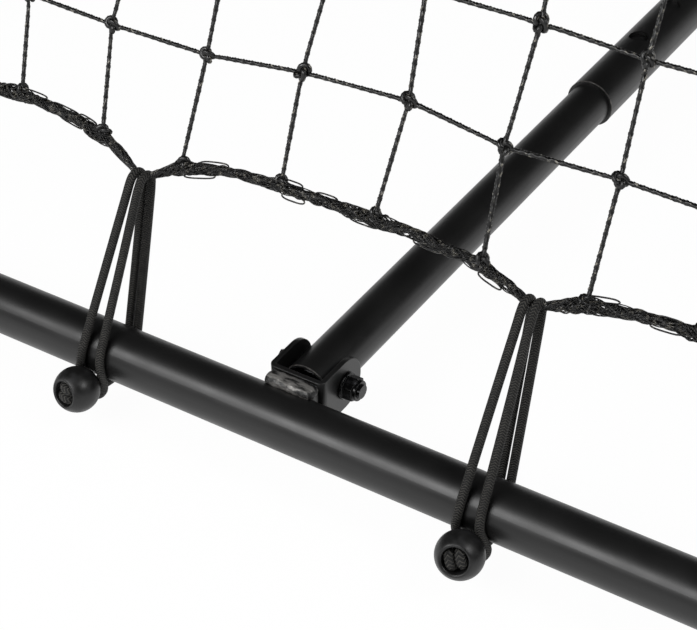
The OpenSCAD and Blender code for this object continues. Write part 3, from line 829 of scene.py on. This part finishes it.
def build_knots(ties, material):
    """Cord ends knotted in the balls' mouths: two short fat bights side by side."""
    shell = Shell()
    steps, thick, apart, arch, lift = 18, 3.0 * MM, 3.0 * MM, 3.1 * MM, 2.3 * MM
    angle = np.radians(np.linspace(-40, 220, steps))
    swell = thick * (1 - 0.5 * np.linspace(-1, 1, steps) ** 8)
    ring = circle(1.0, 14) * swell[:, None, None]
    for side in range(len(SIDES)):
        for place, axes, twist in ball_places(side, ties):
            for way in (-1, 1):
                height = (lift + way * 0.3 * MM) * np.sin(angle)
                bight = np.stack([way * apart * np.ones(steps), arch * np.cos(angle),
                                  ties.mouth_floor + lift + height], axis=1)
                shell.tube(place + turned(bight, twist, 0) @ axes, ring)
    return shell.piece("bungee_knots_woven", material)


# ---- tube rims and welds -------------------------------------------------


def build_brace_rims(node, ways, name, material):
    """Rims on the ends of a brace tube along Y, in worn coat and a painted highlight."""
    low, high = box(node)
    wire = 0.36 * MM
    profile = circle(wire, 8) + ((high[2] - low[2]) / 2 - wire * 0.5, -wire * 0.5)
    shell = Shell()
    for way in ways:
        end = middle(node)
        end[1] = low[1] if way < 0 else high[1]
        shell.spin(profile, end, np.array([(1, 0, 0), (0, 0, -way), (0, way, 0)]), 64)
    return shell.piece(name, material)


# A bead's width on its bracket, its height out of the tube, and how deep in the tube its
# middle line lies.
BEAD_WIDE, BEAD_HIGH, BEAD_DEEP = 7.4 * MM, 10.6 * MM, 3.7 * MM


def build_bead(shell, centre, along, out, size, seed):
    """A lumpy bead along one line. size holds its length, width and height, and out is
    the direction of its height."""
    rng = np.random.default_rng(seed)
    rings, sides, ripple_pitch = 56, 20, 2.6 * MM
    length, wide, high = size
    t = np.linspace(-1, 1, rings)
    path = centre + along * (t * length / 2)[:, None]
    ripple = 1 + 0.03 * np.abs(np.sin(t * length / ripple_pitch * math.pi))
    taper = np.sqrt(np.clip(1 - np.abs(t) ** 12, 0.02, 1))
    lump = rng.normal(0, 1, (rings + 4, sides + 4))
    soft = sum(lump[i:i + rings, k:k + sides] for i in range(4) for k in range(4)) / 16
    swell = (ripple * taper)[:, None] * (1 + 0.18 * soft)
    shell.tube(path, polar(swell, full_turn(sides)) * (wide / 2, high / 2), out)


def build_rail_beads(node, tube, seed, name, material):
    """Beads over and under a bracket that stands on the back or front of a cross tube."""
    span, tube_span = np.ptp(box(node), axis=0), np.ptp(box(tube), axis=0)
    centre, axis = middle(node), middle(tube)
    out = np.array([0, np.sign(centre[1] - axis[1]), 0])
    base = np.array([axis[0], axis[1], centre[2]]) + out * tube_span[2] / 2
    inset = 4.3 * MM
    up = np.array([0, 0, span[2] / 2 - inset])
    shell = Shell()
    # The lower bead is the smaller one, and lies less deep.
    for side, wide, tall, deep in ((1, 1, 1, BEAD_DEEP), (-1, 0.7, 0.5, 1.6 * MM)):
        size = (span[0] - 4 * MM, BEAD_WIDE * wide, BEAD_HIGH * tall)
        build_bead(shell, base - out * deep + up * side, ACROSS, out, size, seed + side)
    return shell.piece(name, material)


def build_hinge_beads(node, tube, seed, name, material):
    """Beads on both sides of a bracket that stands on the back of a side tube."""
    axis, radius = middle(tube), np.ptp(box(tube)[:, 0]) / 2
    base = (axis + NET_UP * ((middle(node) - axis) @ NET_UP)
            - NET_FRONT * (radius - BEAD_DEEP))
    size, edge = (28 * MM, BEAD_WIDE, BEAD_HIGH), ACROSS * 11.2 * MM
    shell = Shell()
    for side in (-1, 1):
        build_bead(shell, base + edge * side, NET_UP, -NET_FRONT, size, seed + side)
    return shell.piece(name, material)


# ---- operators -----------------------------------------------------------


class REBOUNDER_OT_tubes(bpy.types.Operator):
    """Coats the frame, rear frame and brace tubes"""

    bl_idname = "rebounder.tubes"
    bl_label = "Coat the tubes"

    def execute(self, context):
        for node in ("bottom_rail", "top_rail", "side_tube_left", "side_tube_right",
                     "rear_leg_left", "rear_leg_right", "rear_crossbar",
                     "brace_inner_tube", "brace_outer_tube"):
            dress(node, finish(context, powder_coat))
        # Rims on the brace tube ends carry worn coat and a painted highlight.
        for node, ways, name, body in (
                ("brace_inner_tube", (-1,), "brace_inner_rim", "brace_inner"),
                ("brace_outer_tube", (-1, 1), "brace_outer_rims", "brace_outer")):
            made = build_brace_rims(node, ways, name, finish(context, worn_edge_and_highlight))
            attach(made, body)
        return {"FINISHED"}


class REBOUNDER_OT_fittings(bpy.types.Operator):
    """Finishes the corner mouldings and the feet"""

    bl_idname = "rebounder.fittings"
    bl_label = "Finish corners and feet"

    def execute(self, context):
        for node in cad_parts:
            if "corner" in node and not node.endswith(("screws", "nuts")):
                dress(node, finish(context, moulded_nylon))
            if "foot" in node:
                dress(node, finish(context, moulded_rubber), 1.2 * MM)
        return {"FINISHED"}


class REBOUNDER_OT_brackets(bpy.types.Operator):
    """Coats the bent brackets and lays their weld beads"""

    bl_idname = "rebounder.brackets"
    bl_label = "Coat and weld the brackets"

    def execute(self, context):
        for node, build, tube, body, seed in (
                ("rail_bracket", build_rail_beads, "bottom_rail", "net_frame", 41),
                ("rear_bracket", build_rail_beads, "rear_crossbar", "rear_frame", 51),
                ("hinge_bracket_left", build_hinge_beads, "side_tube_left", "net_frame", 61),
                ("hinge_bracket_right", build_hinge_beads, "side_tube_right", "net_frame",
                 71)):
            dress(node, finish(context, powder_coat), 0.6 * MM)
            made = build(node, tube, seed, node.replace("bracket", "bracket_weld"),
                         finish(context, weld_finish))
            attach(made, body)
        return {"FINISHED"}


class REBOUNDER_OT_fasteners(bpy.types.Operator):
    """Finishes bolts, nuts and screws"""

    bl_idname = "rebounder.fasteners"
    bl_label = "Finish the fasteners"

    def execute(self, context):
        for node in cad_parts:
            if node.endswith(("screws", "nuts", "nut", "bolt", "bolts")):
                dress(node, finish(context, black_zinc), 0.5 * MM)
        return {"FINISHED"}


class REBOUNDER_OT_button(bpy.types.Operator):
    """Finishes the snap button and its leaf spring"""

    bl_idname = "rebounder.button"
    bl_label = "Finish the snap button"

    def execute(self, context):
        dress("snap_button", finish(context, powder_coat))
        dress("snap_spring", finish(context, spring_steel), 0.15 * MM)
        return {"FINISHED"}


class REBOUNDER_OT_net(bpy.types.Operator):
    """Ties the net's strings and knots"""

    bl_idname = "rebounder.net"
    bl_label = "Tie the net"

    def execute(self, context):
        made = build_net(context.scene.rebounder_net, context.scene.rebounder_ties,
                         finish(context, twisted_twine))
        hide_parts("net_mesh")
        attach(made, "net_frame")
        return {"FINISHED"}


class REBOUNDER_OT_border_rope(bpy.types.Operator):
    """Braids the border rope"""

    bl_idname = "rebounder.border_rope"
    bl_label = "Braid the border rope"

    def execute(self, context):
        made = build_border_rope(context.scene.rebounder_net, context.scene.rebounder_ties,
                                 finish(context, braided_rope))
        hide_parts("net_border_rope")
        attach(made, "net_frame")
        return {"FINISHED"}


class REBOUNDER_OT_cords(bpy.types.Operator):
    """Winds the bungee cords of all four sides"""

    bl_idname = "rebounder.cords"
    bl_label = "Wind the bungee cords"

    def execute(self, context):
        scene = context.scene
        for side, name in enumerate(SIDES):
            made = build_cords(side, scene.rebounder_net, scene.rebounder_ties,
                               finish(context, woven_elastic))
            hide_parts(f"bungee_cords_{name}")
            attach(made, "net_frame")
        return {"FINISHED"}


class REBOUNDER_OT_balls(bpy.types.Operator):
    """Makes the drilled balls of all four sides"""

    bl_idname = "rebounder.balls"
    bl_label = "Drill the balls"

    def execute(self, context):
        for side, name in enumerate(SIDES):
            made = build_balls(side, context.scene.rebounder_ties,
                               finish(context, moulded_ball))
            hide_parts(f"bungee_balls_{name}")
            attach(made, "net_frame")
        return {"FINISHED"}


class REBOUNDER_OT_knots(bpy.types.Operator):
    """Ties the knots in the balls' mouths"""

    bl_idname = "rebounder.knots"
    bl_label = "Knot the cord ends"

    def execute(self, context):
        made = build_knots(context.scene.rebounder_ties, finish(context, woven_elastic))
        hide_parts("bungee_knots")
        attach(made, "net_frame")
        return {"FINISHED"}


# ---- stage ---------------------------------------------------------------

# The camera stands in front of the right half of the rail and looks down to the left.
CAMERA_AT = (0.46048, -1.00890, 0.71321)
CAMERA_TURN = (51.712, 1.252, 32.716)
CAMERA_LENS = 99.48
FLOOR_HALF = 8.0
# Each lamp's place from the lit part of the rail, its width and height, and its watts.
LIT_AT = Vector((0.05, RAIL[1], RAIL[2]))
LAMPS = {
    "key": ((-0.52, -1.10, 1.03), (1.3, 0.42), 18),
    "side": ((1.0, 0.12, 1.15), (0.5, 0.5), 8),
}


def add_camera():
    """Sets up the camera."""
    data = bpy.data.cameras.new("camera")
    data.lens = CAMERA_LENS
    data.sensor_width = 36
    data.clip_start = 0.05
    made = add_object("camera", data)
    made.location = CAMERA_AT
    made.rotation_euler = [math.radians(angle) for angle in CAMERA_TURN]
    bpy.context.scene.camera = made


def add_lamp(name, offset, size, watts):
    """Hangs a rectangular lamp that points at the lit part of the rail."""
    data = bpy.data.lights.new(name, "AREA")
    data.shape = "RECTANGLE"
    data.size, data.size_y = size
    data.energy = watts
    made = add_object(name, data)
    made.location = LIT_AT + Vector(offset)
    made.rotation_euler = (LIT_AT - made.location).to_track_quat("-Z", "Y").to_euler()


def floor_finish(colours):
    """Paper sweep, pale and matt, which the camera sees as nearly white."""
    # It is even and white, and keeps a trace of the object's shadow.
    material, tree = new_finish("white_paper_floor")
    matt = add_node(tree, "BsdfDiffuse", {"Color": tuple(colours.floor)})["BSDF"]
    white = add_node(tree, "Emission", {"Color": (1, 1, 1, 1), "Strength": 1})["Emission"]
    rays = add_node(tree, "LightPath")
    seen, shone = (add_node(tree, "Math", (rays[ray], share), operation="MULTIPLY")[0]
                   for ray, share in (("Is Camera Ray", 0.97), ("Is Glossy Ray", 0.95)))
    share = add_node(tree, "Math", (seen, shone), operation="MAXIMUM")[0]
    paper = add_node(tree, "MixShader", (share, matt, white))["Shader"]
    add_node(tree, "OutputMaterial", {"Surface": paper})
    return material


def studio_world():
    """Grey light from all round, white to the camera, and a dark ceiling in reflections."""
    world = bpy.data.worlds.new("studio")
    world.use_nodes = True
    tree = world.node_tree
    tree.nodes.clear()
    rays = add_node(tree, "LightPath")
    height = add_node(tree, "SeparateXYZ", (add_node(tree, "TexCoord")["Generated"],))["Z"]
    ceiling = add_node(tree, "MapRange", (height, 0.02, 0.2, 1, 0.03))[0]
    level, glossy = (add_node(tree, "Math", (rays[ray], share), operation="MULTIPLY")[0]
                     for ray, share in (("Is Diffuse Ray", 0.3), ("Is Glossy Ray", ceiling)))
    for white in (glossy, rays["Is Camera Ray"], rays["Is Transmission Ray"]):
        level = add_node(tree, "Math", (level, white), operation="MAXIMUM")[0]
    light = add_node(tree, "Background", {"Color": (1, 1, 1, 1), "Strength": level})
    add_node(tree, "OutputWorld", {"Surface": light["Background"]})
    bpy.context.scene.world = world


class REBOUNDER_OT_stage(bpy.types.Operator):
    """Lays the floor and sets the lamps and the camera"""

    bl_idname = "rebounder.stage"
    bl_label = "Set the stage"

    def execute(self, context):
        mesh = bpy.data.meshes.new("floor")
        corners = [(x * FLOOR_HALF, y * FLOOR_HALF, 0)
                   for x, y in ((-1, -1), (1, -1), (1, 1), (-1, 1))]
        mesh.from_pydata(corners, [], [(0, 1, 2, 3)])
        mesh.materials.append(floor_finish(context.scene.rebounder_colours))
        floor = add_object("floor", mesh)
        studio_world()
        for name, lamp in LAMPS.items():
            add_lamp(name, *lamp)
        add_camera()
        context.scene.view_settings.view_transform = "Standard"
        return {"FINISHED"}


OPERATORS = (
    REBOUNDER_OT_tubes, REBOUNDER_OT_fittings, REBOUNDER_OT_brackets,
    REBOUNDER_OT_fasteners, REBOUNDER_OT_button, REBOUNDER_OT_net,
    REBOUNDER_OT_border_rope, REBOUNDER_OT_cords, REBOUNDER_OT_balls,
    REBOUNDER_OT_knots, REBOUNDER_OT_stage,
)
GROUPS = {
    "rebounder_net": RebounderNet,
    "rebounder_ties": RebounderTies,
    "rebounder_colours": RebounderColours,
}


class REBOUNDER_PT_panel(bpy.types.Panel):
    """Lists the steps and their settings"""

    bl_label = "Rebounder"
    bl_space_type = "VIEW_3D"
    bl_region_type = "UI"
    bl_category = "Rebounder"

    def draw(self, context):
        for operator in OPERATORS:
            self.layout.operator(operator.bl_idname)
        for name, group in GROUPS.items():
            area = self.layout.box()
            for setting in group.__annotations__:
                area.prop(getattr(context.scene, name), setting)


def register():
    for group in (*GROUPS.values(), *OPERATORS, REBOUNDER_PT_panel):
        bpy.utils.register_class(group)
    for name, group in GROUPS.items():
        setattr(bpy.types.Scene, name, bpy.props.PointerProperty(type=group))


def unregister():
    for name in GROUPS:
        delattr(bpy.types.Scene, name)
    for group in (REBOUNDER_PT_panel, *reversed(OPERATORS), *reversed(GROUPS.values())):
        bpy.utils.unregister_class(group)


def main():
    register()
    for operator in OPERATORS:
        group, name = operator.bl_idname.split(".")
        getattr(getattr(bpy.ops, group), name)()


if __name__ == "__main__":
    main()
